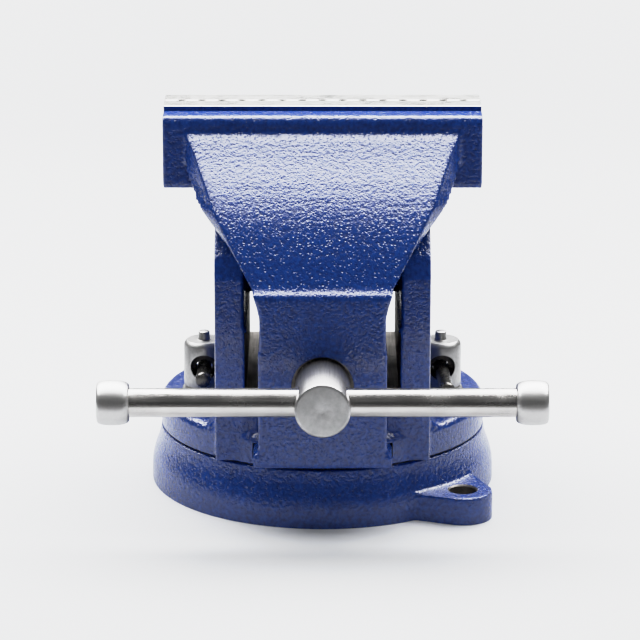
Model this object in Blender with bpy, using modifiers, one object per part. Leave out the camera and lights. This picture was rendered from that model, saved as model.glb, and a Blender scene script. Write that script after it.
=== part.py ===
"""Swivel-base bench vise with closed jaws.

Frame: metres, +Z up, origin on the swivel axis at the underside of the base.
The jaws open towards -Y, where the screw head and its handle are.
The driving sizes below are in millimetres.
"""

import math

import bmesh
import bpy
from mathutils import Matrix, Vector

MM = 0.001
GAP = 0.3

# Jaws
JAW_HALF_WIDTH = 63.0
JAW_TOP = 154.3
REAR_JAW_TOP = 152.4
JAW_BOTTOM = 125.4
PLATE_TOP = 156.1
PLATE_BOTTOM = 128.4
PLATE_THICK = 9.85
PLATE_HALF_WIDTH = 62.9
GRIP_HALF_GAP = 0.15
BLOCK_FACE = 10.3
BLOCK_DEPTH = 11.5
PLATE_SCREW_X = 38.0
PLATE_SCREW_Z = 141.5

# Moving beam and its front
FRONT_FACE = -74.0
FRONT_WALL_BACK = -62.0
BEAM_HALF = 24.2
BEAM_BOTTOM = 26.5
BEAM_TOP = 75.8
BEAM_REAR = 104.5
FOOT_HALF = 27.0
FOOT_TOP = 32.0
CHANNEL_HALF = 16.5
CHANNEL_TOP = 70.8

# Screw line
SCREW_Z = 59.8
SHAFT_R = 8.5
THREAD_R = 8.0
HEAD_R = 10.65
HEAD_FRONT = -104.5
HEAD_BACK = -70.5
RECESS_R = 12.1
HANDLE_Y = -93.5
HANDLE_R = 5.55
HANDLE_END = 85.9
KNOB_R = 8.65
KNOB_INNER = 73.6
COLLAR_PIN_Y = -56.4

# Base and swivel
BASE_R = 69.5
BASE_TOP = 22.9
LIP_R = 55.2
LIP_BOTTOM = 11.5
CAVITY_R = 63.0
LUG_REACH = 77.0
LUG_R = 11.8
LUG_THICK = 11.0
LUG_HOLE_R = 5.45
LUG_ANGLE = -44.0
DISC_R = 65.5
DISC_BOTTOM = 23.2
DISC_TOP = 35.5
BOSS_R = 54.4
BOSS_BOTTOM = 13.6
FLOOR_TOP = 26.2

# Side walls of the body
WALL_INNER = 30.5
WALL_THIN = 35.0
WALL_OUTER = 42.1
WALL_FRONT = -57.0
WALL_REAR = 57.0
WALL_BOTTOM = 23.7
KEEPER_INNER = 24.55
KEEPER_BOTTOM = 32.4
KEEPER_TOP = 43.0
BRIDGE_BOTTOM = 76.4

# Swivel locks
LOCK_X = 48.0
LOCK_BOLT_R = 5.0
LOCK_NUT_R = 8.3
LOCK_NUT_BOTTOM = 37.6
LOCK_NUT_TOP = 56.9
LOCK_STUB_R = 2.3
LOCK_STUB_TOP = 60.4
LOCK_HOLE_R = 5.4
LOCK_HOLE_Z = 47.0
LOCK_BAR_R = 2.8
LOCK_BAR_Z = 45.2
LOCK_BAR_LENGTH = 41.0
LOCK_BAR_FRONT = {"left": 19.5, "right": 33.0}
LOCK_LEAN = {"left": 0.0, "right": 3.0}

SIDES = (("left", -1), ("right", 1))


def clear_scene():
    for obj in list(bpy.data.objects):
        bpy.data.objects.remove(obj, do_unlink=True)


def new_collection(name):
    group = bpy.data.collections.new(name)
    bpy.context.scene.collection.children.link(group)
    return group


def new_material(name, colour, roughness, metallic):
    material = bpy.data.materials.new(name)
    material.use_nodes = True
    shader = material.node_tree.nodes["Principled BSDF"]
    shader.inputs["Base Color"].default_value = (*colour, 1.0)
    shader.inputs["Roughness"].default_value = roughness
    shader.inputs["Metallic"].default_value = metallic
    material.diffuse_color = (*colour, 1.0)
    return material


clear_scene()
PARTS = new_collection("bench_vise")
CUTTERS = new_collection("bench_vise_cutters")
ENAMEL = new_material("blue_enamel", (0.035, 0.075, 0.30), 0.3, 0.0)
STEEL = new_material("turned_steel", (0.56, 0.55, 0.53), 0.32, 1.0)
HARD_STEEL = new_material("ground_steel", (0.62, 0.61, 0.58), 0.25, 1.0)
BLACK_STEEL = new_material("black_steel", (0.05, 0.05, 0.055), 0.45, 1.0)
ZINC = new_material("zinc_steel", (0.66, 0.66, 0.67), 0.3, 1.0)
IRON = new_material("plain_iron", (0.20, 0.19, 0.18), 0.6, 1.0)


def add_object(name, mesh, place=(0, 0, 0)):
    obj = bpy.data.objects.new(name, mesh)
    obj.location = Vector(place) * MM
    PARTS.objects.link(obj)
    return obj


def mesh_from(name, shape):
    mesh = bpy.data.meshes.new(name)
    shape.to_mesh(mesh)
    shape.free()
    return mesh


def block(name, low, high):
    """A box between two corners, with its origin at its centre."""
    low, high = Vector(low), Vector(high)
    shape = bmesh.new()
    bmesh.ops.create_cube(shape, size=1.0)
    bmesh.ops.scale(shape, vec=(high - low) * MM, verts=shape.verts)
    return add_object(name, mesh_from(name, shape), (low + high) / 2)


def rod(name, start, end, radius, sides=24):
    """A cylinder, or a hexagonal bar with six sides, between two points."""
    start, end = Vector(start), Vector(end)
    shape = bmesh.new()
    bmesh.ops.create_cone(
        shape,
        cap_ends=True,
        segments=sides,
        radius1=radius * MM,
        radius2=radius * MM,
        depth=(end - start).length * MM,
    )
    obj = add_object(name, mesh_from(name, shape), (start + end) / 2)
    obj.rotation_euler = Vector((0, 0, 1)).rotation_difference(end - start).to_euler()
    return obj


def turned(name, profile, place=(0, 0, 0), along=(0, 0, 1), steps=32, closed=True):
    """A profile of (radius, height) turned about its own axis. It runs down the outer side."""
    mesh = bpy.data.meshes.new(name)
    shape = bmesh.new()
    points = [shape.verts.new((r * MM, 0, h * MM)) for r, h in profile]
    ends = points[1:] + points[:1] if closed else points[1:]
    for first, second in zip(points, ends):
        shape.edges.new((first, second))
    shape.to_mesh(mesh)
    shape.free()
    obj = add_object(name, mesh, place)
    obj.rotation_euler = Vector((0, 0, 1)).rotation_difference(Vector(along)).to_euler()
    screw = obj.modifiers.new("turn", "SCREW")
    screw.steps = steps
    screw.render_steps = steps
    screw.use_merge_vertices = True
    screw.merge_threshold = 0.00001
    return obj


def as_mesh(obj):
    """The same object as a mesh, with its loose caps welded, so that it can be cut or joined."""
    graph = bpy.context.evaluated_depsgraph_get()
    graph.update()
    mesh = bpy.data.meshes.new_from_object(obj.evaluated_get(graph))
    shape = bmesh.new()
    shape.from_mesh(mesh)
    bmesh.ops.remove_doubles(shape, verts=shape.verts, dist=0.000001)
    bmesh.ops.recalc_face_normals(shape, faces=shape.faces)
    shape.to_mesh(mesh)
    shape.free()
    name, place = obj.name, obj.matrix_world.copy()
    bpy.data.objects.remove(obj, do_unlink=True)
    made = bpy.data.objects.new(name, mesh)
    made.matrix_world = place
    PARTS.objects.link(made)
    return made


def slab(name, outline, low, high, facing):
    """A flat outline given thickness from low to high, along Z, X or Y."""
    curve = bpy.data.curves.new(name, "CURVE")
    curve.dimensions = "2D"
    curve.fill_mode = "BOTH"
    curve.extrude = (high - low) / 2 * MM
    line = curve.splines.new("POLY")
    line.points.add(len(outline) - 1)
    for point, (across, up) in zip(line.points, outline):
        point.co = (across * MM, up * MM, 0, 1)
    line.use_cyclic_u = True
    obj = add_object(name, curve)
    middle = (low + high) / 2 * MM
    turns = {
        "Z": Matrix.Translation((0, 0, middle)),
        "X": Matrix.Translation((middle, 0, 0)) @ Matrix(((0, 0, 1, 0), (1, 0, 0, 0), (0, 1, 0, 0), (0, 0, 0, 1))),
        "Y": Matrix.Translation((0, middle, 0)) @ Matrix.Rotation(math.radians(90), 4, "X"),
    }
    obj.matrix_world = turns[facing]
    bpy.context.view_layer.update()
    return as_mesh(obj)


def loft(name, loops):
    """A closed body through four-sided sections, lowest first."""
    shape = bmesh.new()
    rings = [[shape.verts.new(Vector(p) * MM) for p in loop] for loop in loops]
    for lower, upper in zip(rings, rings[1:]):
        for i in range(4):
            j = (i + 1) % 4
            shape.faces.new((lower[i], lower[j], upper[j], upper[i]))
    shape.faces.new(reversed(rings[0]))
    shape.faces.new(rings[-1])
    bmesh.ops.recalc_face_normals(shape, faces=shape.faces)
    return add_object(name, mesh_from(name, shape))


def combine(target, tool, operation):
    tool.hide_render = True
    tool.display_type = "WIRE"
    PARTS.objects.unlink(tool)
    CUTTERS.objects.link(tool)
    change = target.modifiers.new(operation.lower() + "_" + tool.name, "BOOLEAN")
    change.operation = operation
    change.solver = "EXACT"
    change.object = tool


def join(target, *tools):
    for tool in tools:
        combine(target, tool, "UNION")


def cut(target, *tools):
    for tool in tools:
        combine(target, tool, "DIFFERENCE")


def finish(obj, material, parent, smooth=True):
    obj.data.materials.clear()
    obj.data.materials.append(material)
    if smooth and obj.type == "MESH":
        obj.data.shade_smooth()
        obj.data.set_sharp_from_angle(angle=math.radians(35))
    bpy.context.view_layer.update()
    obj.parent = parent
    obj.matrix_parent_inverse = parent.matrix_world.inverted()
    return obj


def pivot(name, place, parent=None):
    """An empty on a joint's axis, which carries the pieces that move together."""
    empty = bpy.data.objects.new(name, None)
    empty.empty_display_size = 0.02
    empty.location = Vector(place) * MM
    PARTS.objects.link(empty)
    bpy.context.view_layer.update()
    if parent:
        empty.parent = parent
        empty.matrix_parent_inverse = parent.matrix_world.inverted()
        bpy.context.view_layer.update()
    return empty


def lug_outline(angle):
    """A lug seen from above: a round end on a root that widens into the base."""
    root_half, root_reach, steps = 19.0, 64.5, 16
    spread = math.radians(76)
    points = [(root_reach, root_half)]
    for i in range(steps + 1):
        turn = spread - 2 * spread * i / steps
        points.append((LUG_REACH + LUG_R * math.cos(turn), LUG_R * math.sin(turn)))
    points.append((root_reach, -root_half))
    c, s = math.cos(math.radians(angle)), math.sin(math.radians(angle))
    return [(x * c - y * s, x * s + y * c) for x, y in points]


def base_casting(parent):
    profile = [
        (LIP_R, BASE_TOP),
        (64.3, BASE_TOP),
        (65.6, 21.7),
        (66.7, 14.8),
        (68.8, 13.3),
        (BASE_R, 11.8),
        (BASE_R, 0),
        (CAVITY_R, 0),
        (CAVITY_R, LIP_BOTTOM),
        (LIP_R, LIP_BOTTOM),
    ]
    base = turned("base_casting", profile, steps=72)
    for label, turn in (("front", 0), ("rear", 180)):
        angle = LUG_ANGLE + turn
        join(base, slab("lug_" + label, lug_outline(angle), 0.0, LUG_THICK, "Z"))
        x = LUG_REACH * math.cos(math.radians(angle))
        y = LUG_REACH * math.sin(math.radians(angle))
        cut(base, rod("lug_hole_" + label, (x, y, -5), (x, y, 20), LUG_HOLE_R))
    return finish(base, ENAMEL, parent)


def wall_outline(inset=0.0):
    """Side view of a wall, as (y, z): upright low down, sloping back under the jaw."""
    front, rear = WALL_FRONT + inset, WALL_REAR - inset
    return [
        (front, WALL_BOTTOM + inset),
        (front, 98.0),
        (-54.0 + inset, 106.0),
        (-46.0 + inset, 114.0 - inset),
        (-30.0, 120.4 - inset),
        (-10.0, 124.8 - inset),
        (32.0, 125.9 - inset),
        (50.0 - inset, 112.0),
        (rear, 98.0),
        (rear, WALL_BOTTOM + inset),
    ]


def wall_posts_outline():
    """The outer layer of a wall: the same outline with a recess for the swivel lock."""
    recess = [(35.0, WALL_BOTTOM), (35.0, 74.0), (31.0, 78.0), (-34.0, 78.0), (-38.0, 74.0), (-38.0, WALL_BOTTOM)]
    return wall_outline() + recess


def rear_buttress():
    """The flare behind the fixed jaw, from the walls' width out to the jaw's."""
    stations = (
        (99.0, 55.0, 42.3),
        (112.0, 53.5, 43.5),
        (122.0, 48.5, 47.0),
        (132.0, 40.0, 51.5),
        (140.0, 31.5, 54.0),
        (147.2, 22.6, 55.0),
    )
    front = 10.7
    loops = [[(-w, front, z), (w, front, z), (w, back, z), (-w, back, z)] for z, back, w in stations]
    return loft("rear_buttress", loops)


def body_casting(parent):
    profile = [
        (0, DISC_TOP),
        (63.4, DISC_TOP),
        (64.9, 34.9),
        (DISC_R, 33.4),
        (DISC_R, 23.9),
        (64.8, DISC_BOTTOM),
        (BOSS_R, DISC_BOTTOM),
        (BOSS_R, BOSS_BOTTOM),
        (0, BOSS_BOTTOM),
    ]
    body = turned("body_casting", profile, steps=72, closed=False)
    for side, sign in SIDES:
        low, high = sorted((sign * WALL_INNER, sign * WALL_THIN))
        join(body, slab("wall_" + side, wall_outline(0.2), low, high, "X"))
        low, high = sorted((sign * (WALL_THIN - 0.6), sign * WALL_OUTER))
        join(body, slab("posts_" + side, wall_posts_outline(), low, high, "X"))
    join(
        body,
        block("bridge", (-31.0, 2.5, BRIDGE_BOTTOM), (31.0, 53.0, 126.9)),
        rear_buttress(),
        block(
            "fixed_jaw_block",
            (-JAW_HALF_WIDTH, BLOCK_FACE, JAW_BOTTOM),
            (JAW_HALF_WIDTH, BLOCK_FACE + BLOCK_DEPTH, REAR_JAW_TOP),
        ),
        slab("anvil_gusset", [(48, 80), (58, 80), (76, 101), (48, 101)], -15.0, 15.0, "X"),
        block("anvil", (-23.0, 50.0, 99.5), (23.0, 77.5, 113.0)),
    )
    cut(body, block("beam_channel", (-27.5, -75.0, FLOOR_TOP), (27.5, 75.0, 60.0)))
    for side, sign in SIDES:
        low, high = sorted((sign * KEEPER_INNER, sign * (WALL_INNER + 1.5)))
        join(body, block("keeper_" + side, (low, -56.5, KEEPER_BOTTOM), (high, 56.5, KEEPER_TOP)))
        x = sign * LOCK_X
        cut(body, rod("lock_bolt_hole_" + side, (x, 0, 5), (x, 0, 45), LOCK_BOLT_R + 0.35))
        x = sign * PLATE_SCREW_X
        cut(body, rod("fixed_screw_hole_" + side, (x, 5, PLATE_SCREW_Z), (x, 24, PLATE_SCREW_Z), 2.9, 16))
    cut(body, rod("nut_bolt_hole", (0, -38, 5), (0, -38, 35), 4.35))
    return finish(body, ENAMEL, parent)


def jaw_front():
    """The upright front wall, the ledge over it and the flared skin that carries the jaw."""
    stations = (
        # height, front, half width at the front, half width at the back, depth
        (BEAM_BOTTOM + 0.2, FRONT_FACE, 24.4, 24.4, 12.0),
        (87.0, FRONT_FACE, 24.4, 24.4, 12.0),
        (95.7, FRONT_FACE, 26.8, 26.8, 11.5),
        (97.8, -70.8, 27.2, 27.2, 10.0),
        (107.4, -65.0, 33.0, 34.3, 10.0),
        (116.8, -58.5, 38.1, 42.6, 10.0),
        (123.7, -51.5, 41.8, 48.9, 10.0),
        (132.7, -41.5, 46.0, 53.7, 16.0),
        (139.7, -32.5, 49.4, 54.6, 12.0),
        (145.9, -25.0, 52.8, 55.0, 6.0),
        (147.2, -22.4, 53.8, 55.0, 4.0),
    )
    loops = []
    for z, front, near, far, depth in stations:
        back = front + depth
        loops.append([(-near, front, z), (near, front, z), (far, back, z), (-far, back, z)])
    return loft("jaw_front", loops)


def moving_jaw_casting(parent):
    beam = [
        (-FOOT_HALF, BEAM_BOTTOM),
        (-FOOT_HALF, FOOT_TOP),
        (-BEAM_HALF, FOOT_TOP),
        (-BEAM_HALF, BEAM_TOP - 2.8),
        (-BEAM_HALF + 2.8, BEAM_TOP),
        (BEAM_HALF - 2.8, BEAM_TOP),
        (BEAM_HALF, BEAM_TOP - 2.8),
        (BEAM_HALF, FOOT_TOP),
        (FOOT_HALF, FOOT_TOP),
        (FOOT_HALF, BEAM_BOTTOM),
        (CHANNEL_HALF, BEAM_BOTTOM),
        (CHANNEL_HALF, CHANNEL_TOP),
        (-CHANNEL_HALF, CHANNEL_TOP),
        (-CHANNEL_HALF, BEAM_BOTTOM),
    ]
    jaw = slab("moving_jaw_casting", beam, FRONT_FACE + 0.2, BEAM_REAR, "Y")
    web = [(-66, 73), (-12, 73), (-12, 130), (-30, 130), (-48, 122), (-64, 104)]
    join(
        jaw,
        jaw_front(),
        block(
            "moving_jaw_block",
            (-JAW_HALF_WIDTH, -BLOCK_FACE - BLOCK_DEPTH, JAW_BOTTOM),
            (JAW_HALF_WIDTH, -BLOCK_FACE, JAW_TOP),
        ),
        slab("jaw_web", web, -6.0, 6.0, "X"),
    )
    cut(
        jaw,
        rod("screw_recess", (0, -80, SCREW_Z), (0, -70, SCREW_Z), RECESS_R, 40),
        rod("screw_clearance", (0, -80, SCREW_Z), (0, -55, SCREW_Z), SHAFT_R + 0.4, 32),
    )
    for side, sign in SIDES:
        x = sign * PLATE_SCREW_X
        cut(jaw, rod("moving_screw_hole_" + side, (x, -24, PLATE_SCREW_Z), (x, -5, PLATE_SCREW_Z), 2.9, 16))
    return finish(jaw, ENAMEL, parent)


def jaw_plate(name, sign, parent):
    """A flat jaw plate with two countersunk screw holes that open on its gripping face."""
    near, far = sorted((sign * GRIP_HALF_GAP, sign * (GRIP_HALF_GAP + PLATE_THICK)))
    plate = block(name, (-PLATE_HALF_WIDTH, near, PLATE_BOTTOM), (PLATE_HALF_WIDTH, far, PLATE_TOP))
    for side, across in SIDES:
        x = across * PLATE_SCREW_X
        face = sign * GRIP_HALF_GAP
        cut(
            plate,
            rod(name + "_seat_" + side, (x, face - sign, PLATE_SCREW_Z), (x, face + 5.6 * sign, PLATE_SCREW_Z), 5.3),
            rod(name + "_hole_" + side, (x, face, PLATE_SCREW_Z), (x, face + 12 * sign, PLATE_SCREW_Z), 2.9, 16),
        )
    return finish(plate, HARD_STEEL, parent)


def plate_screw(name, x, sign, parent):
    """A socket screw: its head sinks in the plate and its shank goes into the jaw."""
    head_face = GRIP_HALF_GAP + 0.5
    profile = [
        (0, -head_face),
        (4.6, -head_face),
        (4.95, -head_face - 0.4),
        (4.95, -head_face - 4.7),
        (2.5, -head_face - 4.7),
        (2.5, -22.5),
        (2.0, -23.2),
        (0, -23.2),
    ]
    screw = turned(name, profile, (x, 0, PLATE_SCREW_Z), (0, -sign, 0), 16, closed=False)
    socket = rod(
        name + "_socket",
        (x, sign * (head_face - 1), PLATE_SCREW_Z),
        (x, sign * (head_face + 2.4), PLATE_SCREW_Z),
        2.3,
        6,
    )
    cut(screw, socket)
    return finish(screw, BLACK_STEEL, parent)


def main_screw(parent):
    """Turned about -Y: heights are distances in front of the swivel axis."""
    profile = [
        (0, -HEAD_FRONT),
        (9.7, -HEAD_FRONT),
        (HEAD_R, -HEAD_FRONT - 1.0),
        (HEAD_R, -HEAD_BACK),
        (SHAFT_R, -HEAD_BACK),
        (SHAFT_R, 52.0),
        (THREAD_R, 51.2),
        (THREAD_R, -93.4),
        (6.4, -95.0),
        (0, -95.0),
    ]
    screw = turned("main_screw", profile, (0, 0, SCREW_Z), (0, -1, 0), 32, closed=False)
    cut(
        screw,
        rod("handle_hole", (-20, HANDLE_Y, SCREW_Z), (20, HANDLE_Y, SCREW_Z), HANDLE_R + 0.4),
        rod("collar_pin_hole", (-20, COLLAR_PIN_Y, SCREW_Z), (20, COLLAR_PIN_Y, SCREW_Z), 2.2, 16),
    )
    return finish(screw, STEEL, parent)


def ring(name, inner, outer, low, high, place, along, steps=32):
    profile = [(inner, high), (outer, high), (outer, low), (inner, low)]
    return turned(name, profile, place, along, steps)


def screw_fittings(parent):
    """The thrust washer, the collar that draws the jaw back, and the collar's pin."""
    place, along = (0, 0, SCREW_Z), (0, -1, 0)
    washer = ring("thrust_washer", SHAFT_R + 0.3, 10.6, 60.2, 61.7, place, along)
    finish(washer, ZINC, parent)
    collar = ring("screw_collar", SHAFT_R + 0.3, 10.6, 52.9, 59.9, place, along)
    cut(collar, rod("collar_cross_hole", (-20, COLLAR_PIN_Y, SCREW_Z), (20, COLLAR_PIN_Y, SCREW_Z), 2.2, 16))
    finish(collar, IRON, parent)
    pin = rod("collar_pin", (-10.4, COLLAR_PIN_Y, SCREW_Z), (10.4, COLLAR_PIN_Y, SCREW_Z), 1.85, 16)
    finish(pin, STEEL, parent)


def handle(parent):
    bar = rod("handle_bar", (-84.0, HANDLE_Y, SCREW_Z), (84.0, HANDLE_Y, SCREW_Z), HANDLE_R, 28)
    finish(bar, STEEL, parent)
    bore = HANDLE_R + GAP
    profile = [
        (0, HANDLE_END),
        (7.4, HANDLE_END),
        (8.2, 84.9),
        (KNOB_R, 81.5),
        (KNOB_R, 78.2),
        (8.0, 74.6),
        (7.0, KNOB_INNER),
        (bore, KNOB_INNER),
        (bore, 84.4),
        (0, 84.4),
    ]
    for side, sign in SIDES:
        knob = turned("handle_end_" + side, profile, (0, HANDLE_Y, SCREW_Z), (sign, 0, 0), 32, closed=False)
        finish(knob, STEEL, parent)


def screw_nut(parent):
    nut = block("screw_nut", (-13, -48, FLOOR_TOP + GAP), (13, -28, 70.4))
    cut(
        nut,
        rod("nut_thread_bore", (0, -60, SCREW_Z), (0, -20, SCREW_Z), THREAD_R + 0.3, 32),
        rod("nut_bolt_bore", (0, -38, 20), (0, -38, 43), 4.35, 20),
    )
    finish(nut, IRON, parent)
    profile = [
        (0, 41.0),
        (4.0, 41.0),
        (4.0, 13.3),
        (7.6, 13.3),
        (7.6, 8.2),
        (0, 8.2),
    ]
    bolt = turned("nut_bolt", profile, (0, -38, 0), steps=24, closed=False)
    cut(bolt, rod("nut_bolt_socket", (0, -38, 7), (0, -38, 11.6), 4.2, 6))
    finish(bolt, BLACK_STEEL, parent)


def lock_direction(side):
    """Unit vector along a lock bar, towards its front end."""
    lean = math.radians(LOCK_LEAN[side])
    return Vector((math.sin(lean), -math.cos(lean), 0))


def lock_set(side, sign, body, pin):
    """Bolt, clamp shoe and washer of one swivel lock, and the nut that turns on it. A small stub crowns the nut."""
    x = sign * LOCK_X
    bolt = rod("lock_bolt_" + side, (x, 0, 5.0), (x, 0, 41.2), LOCK_BOLT_R)
    join(bolt, rod("lock_bolt_head_" + side, (x, 0, 1.6), (x, 0, 5.9), 8.0, 6))
    finish(bolt, ZINC, body)

    low, high = sorted((sign * 40.0, sign * 61.0))
    shoe = block("clamp_shoe_" + side, (low, -10, 6.2), (high, 10, 11.2))
    cut(shoe, rod("shoe_hole_" + side, (x, 0, 0), (x, 0, 20), LOCK_BOLT_R + 0.35))
    finish(shoe, IRON, body)

    washer = ring("lock_washer_" + side, LOCK_BOLT_R + 0.4, 8.9, 35.8, 37.3, (x, 0, 0), (0, 0, 1), 28)
    finish(washer, ZINC, body)

    profile = [
        (0, LOCK_STUB_TOP),
        (LOCK_STUB_R - 0.4, LOCK_STUB_TOP),
        (LOCK_STUB_R, LOCK_STUB_TOP - 0.4),
        (LOCK_STUB_R, LOCK_NUT_TOP),
        (LOCK_NUT_R - 1.1, LOCK_NUT_TOP),
        (LOCK_NUT_R, LOCK_NUT_TOP - 1.7),
        (LOCK_NUT_R, 38.3),
        (7.7, LOCK_NUT_BOTTOM),
        (LOCK_BOLT_R + 0.35, LOCK_NUT_BOTTOM),
        (LOCK_BOLT_R + 0.35, 45.0),
        (0, 45.0),
    ]
    nut = turned("lock_nut_" + side, profile, (x, 0, 0), steps=36, closed=False)
    ahead = lock_direction(side) * 20
    middle = Vector((x, 0, LOCK_HOLE_Z))
    cut(nut, rod("lock_nut_hole_" + side, middle - ahead, middle + ahead, LOCK_HOLE_R, 32))
    finish(nut, ZINC, pin)


def lock_bar(side, sign, parent):
    half = LOCK_BAR_LENGTH / 2
    profile = [
        (0, half),
        (2.7, half),
        (3.2, half - 0.8),
        (3.2, half - 2.6),
        (LOCK_BAR_R, half - 4.4),
        (LOCK_BAR_R, 4.4 - half),
        (3.2, 2.6 - half),
        (3.2, 0.8 - half),
        (2.7, -half),
        (0, -half),
    ]
    ahead = lock_direction(side)
    middle = Vector((sign * LOCK_X, 0, LOCK_BAR_Z)) + ahead * (LOCK_BAR_FRONT[side] - half)
    bar = turned("lock_bar_" + side, profile, middle, ahead, 20, closed=False)
    finish(bar, STEEL, parent)


def build_vise():
    ground = pivot("base_origin", (0, 0, 0))
    swivel = pivot("swivel_axis", (0, 0, BASE_TOP), ground)
    slide = pivot("jaw_slide_axis", (0, FRONT_FACE, SCREW_Z), swivel)
    spin = pivot("screw_axis", (0, FRONT_FACE, SCREW_Z), slide)
    grip = pivot("handle_axis", (0, HANDLE_Y, SCREW_Z), spin)
    base_casting(ground)
    body_casting(swivel)
    moving_jaw_casting(slide)
    jaw_plate("fixed_jaw_plate", 1, swivel)
    jaw_plate("moving_jaw_plate", -1, slide)
    for side, sign in SIDES:
        plate_screw("fixed_plate_screw_" + side, sign * PLATE_SCREW_X, 1, swivel)
        plate_screw("moving_plate_screw_" + side, sign * PLATE_SCREW_X, -1, slide)
    main_screw(spin)
    screw_fittings(spin)
    handle(grip)
    screw_nut(swivel)
    for side, sign in SIDES:
        turn = pivot("lock_axis_" + side, (sign * LOCK_X, 0, LOCK_NUT_BOTTOM), swivel)
        lock_set(side, sign, swivel, turn)
        lock_bar(side, sign, turn)


build_vise()
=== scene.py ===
import math

import bmesh
import bpy
from mathutils import Matrix, Vector


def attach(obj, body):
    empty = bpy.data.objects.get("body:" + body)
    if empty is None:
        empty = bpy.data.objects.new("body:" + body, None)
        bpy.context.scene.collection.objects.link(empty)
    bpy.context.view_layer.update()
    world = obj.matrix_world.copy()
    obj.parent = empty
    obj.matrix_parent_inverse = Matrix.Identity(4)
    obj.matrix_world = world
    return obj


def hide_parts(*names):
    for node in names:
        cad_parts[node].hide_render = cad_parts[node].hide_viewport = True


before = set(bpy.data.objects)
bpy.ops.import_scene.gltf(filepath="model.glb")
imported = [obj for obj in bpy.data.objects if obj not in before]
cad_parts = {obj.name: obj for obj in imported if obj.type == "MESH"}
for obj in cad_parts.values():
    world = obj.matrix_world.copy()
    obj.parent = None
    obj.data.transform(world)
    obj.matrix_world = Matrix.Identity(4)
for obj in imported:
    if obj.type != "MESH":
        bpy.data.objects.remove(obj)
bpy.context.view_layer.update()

MM = 0.001
SIDES = (("left", -1), ("right", 1))

# Places of the main parts, in millimetres. Z is height, and -Y is the handle's end.
SCREW_Z = 59.8  # the main screw's axis
HANDLE_Y = 93.5  # the handle, ahead of the closed jaws
PIN_Y = 56.4  # the pin through the collar
NUT_BOLT_Y = 38.0  # the bolt that holds the screw's nut
PLATE_FACE, PLATE_BACK = 0.15, 10.0  # a jaw plate, from where the jaws meet
PLATE_MIDDLE_Z = 144.1
PLATE_SCREW_X, PLATE_SCREW_Z = 38.0, 141.5
PLATES = (("fixed", 1, "body"), ("moving", -1, "jaw"))
LOCK_X = 48.0  # a swivel lock, left or right of the middle
LOCK_BAR_Z = 45.2
LUG_ANGLES = (-44, 136)
LUG_OUT = 77.0  # a lug's hole, from the middle


# ---------------------------------------------------------------- workshop habits


def deselect_everything():
    if bpy.context.mode != "OBJECT":
        bpy.ops.object.mode_set(mode="OBJECT")
    bpy.ops.object.select_all(action="DESELECT")


def pick(piece, *others):
    """Selects pieces, the first one active."""
    deselect_everything()
    for obj in (piece, *others):
        obj.select_set(True)
    bpy.context.view_layer.objects.active = piece


def name_piece(name):
    piece = bpy.context.object
    piece.name = name
    piece.data.name = name
    return piece


def settle(piece):
    """Puts the piece's place, turn and scale into its mesh."""
    pick(piece)
    bpy.ops.object.transform_apply(location=True, rotation=True, scale=True)
    return piece


def face_outwards(piece):
    pick(piece)
    bpy.ops.object.mode_set(mode="EDIT")
    bpy.ops.mesh.select_all(action="SELECT")
    bpy.ops.mesh.normals_make_consistent(inside=False)
    bpy.ops.object.mode_set(mode="OBJECT")


def apply_modifier(piece, kind, **settings):
    pick(piece)
    modifier = piece.modifiers.new(kind.lower(), kind)
    for key, value in settings.items():
        setattr(modifier, key, value)
    bpy.ops.object.modifier_apply(modifier=modifier.name)


def block(name, low, high):
    """A box between two corners given in millimetres."""
    low, high = Vector(low) * MM, Vector(high) * MM
    deselect_everything()
    bpy.ops.mesh.primitive_cube_add(size=1, location=(low + high) / 2)
    piece = name_piece(name)
    piece.scale = high - low
    return settle(piece)


def rod(name, start, end, radius, sides=32, end_radius=None):
    """A cylinder or cone between two points given in millimetres."""
    start, end = Vector(start) * MM, Vector(end) * MM
    turn = Vector((0, 0, 1)).rotation_difference(end - start).to_euler()
    deselect_everything()
    bpy.ops.mesh.primitive_cone_add(
        vertices=sides,
        radius1=radius * MM,
        radius2=(radius if end_radius is None else end_radius) * MM,
        depth=(end - start).length,
        location=(start + end) / 2,
        rotation=turn,
    )
    return settle(name_piece(name))


def draw_line(name, points):
    """Draws a chain of vertices through points, one extrusion at a time, and stays in edit mode."""
    deselect_everything()
    bpy.ops.mesh.primitive_plane_add(size=0.001, location=Vector(points[0]) * MM)
    piece = settle(name_piece(name))
    bpy.ops.object.mode_set(mode="EDIT")
    bpy.ops.mesh.select_all(action="SELECT")
    bpy.ops.mesh.merge(type="CENTER")
    for here, there in zip(points, points[1:]):
        step = (Vector(there) - Vector(here)) * MM
        bpy.ops.mesh.extrude_vertices_move(TRANSFORM_OT_translate={"value": step})
    return piece


def close_line():
    """Joins the two ends of the line being drawn and fills it."""
    bpy.ops.mesh.select_all(action="SELECT")
    bpy.ops.mesh.edge_face_add()


def slab(name, outline, low, high, facing):
    """A flat outline pulled from low to high along X, Y or Z. The outline leaves that axis out."""
    axis = "XYZ".index(facing)
    points = [(*p[:axis], low, *p[axis:]) for p in outline]
    piece = draw_line(name, points)
    close_line()
    pull = [0.0, 0.0, 0.0]
    pull[axis] = (high - low) * MM
    bpy.ops.mesh.extrude_region_move(TRANSFORM_OT_translate={"value": pull})
    bpy.ops.object.mode_set(mode="OBJECT")
    face_outwards(piece)
    return piece


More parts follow.
